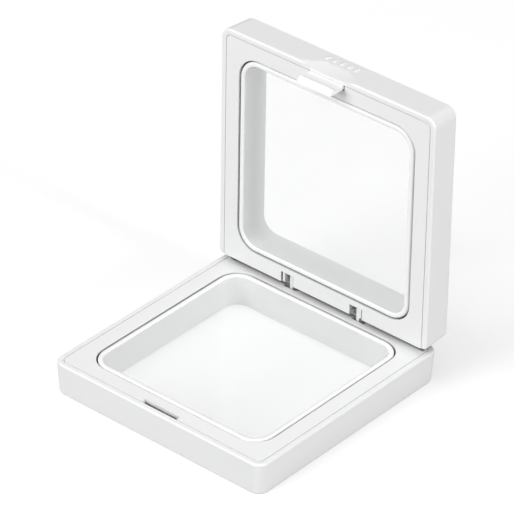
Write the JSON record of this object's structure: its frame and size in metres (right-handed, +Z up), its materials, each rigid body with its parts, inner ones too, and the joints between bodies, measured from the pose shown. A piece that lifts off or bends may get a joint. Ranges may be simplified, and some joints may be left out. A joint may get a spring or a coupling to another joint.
{
  "type": "coin capsule",
  "caption": "Square hinged display case with a clear stretched film window in each half, a hooked latch tongue and a thumb scoop.",
  "frame": {"origin": "on the table, under the middle of the open case's footprint", "axes": "+Z up through the open lid, +Y towards the hinge, +X along the hinge; the latch slot faces -Y"},
  "size_m": [0.071, 0.0745, 0.0809],
  "materials": {
    "shell_plastic": "white ABS, fine satin moulding texture",
    "plate_plastic": "white ABS, satin",
    "ring_plastic": "white ABS, smooth",
    "clear_film": "clear glossy elastic film",
    "pin_steel": "plain steel pin"
  },
  "bodies": {
    "base": {"base_shell": "shell_plastic", "base_face_plate": "plate_plastic", "base_film_ring": "ring_plastic", "base_film": "clear_film"},
    "lid": {"lid_shell": "shell_plastic", "lid_face_plate": "plate_plastic", "lid_film_ring": "ring_plastic", "lid_film": "clear_film", "hinge_pin_left": "pin_steel", "hinge_pin_right": "pin_steel"},
    "latch": {"latch_tongue": "shell_plastic"}
  },
  "joints": [
    {"name": "lid_hinge", "type": "hinge", "parent": "base", "child": "lid", "pos_m": [0, 0.03103, 0.0126], "axis": [-1, 0, 0], "range_deg": [-90, 25]},
    {"name": "latch_flex", "type": "hinge", "parent": "lid", "child": "latch", "pos_m": [0, 0.03492, 0.07855], "axis": [1, 0, 0], "range_deg": [0, 2.2], "stiffness_Nm_per_rad": 0.6}
  ]
}
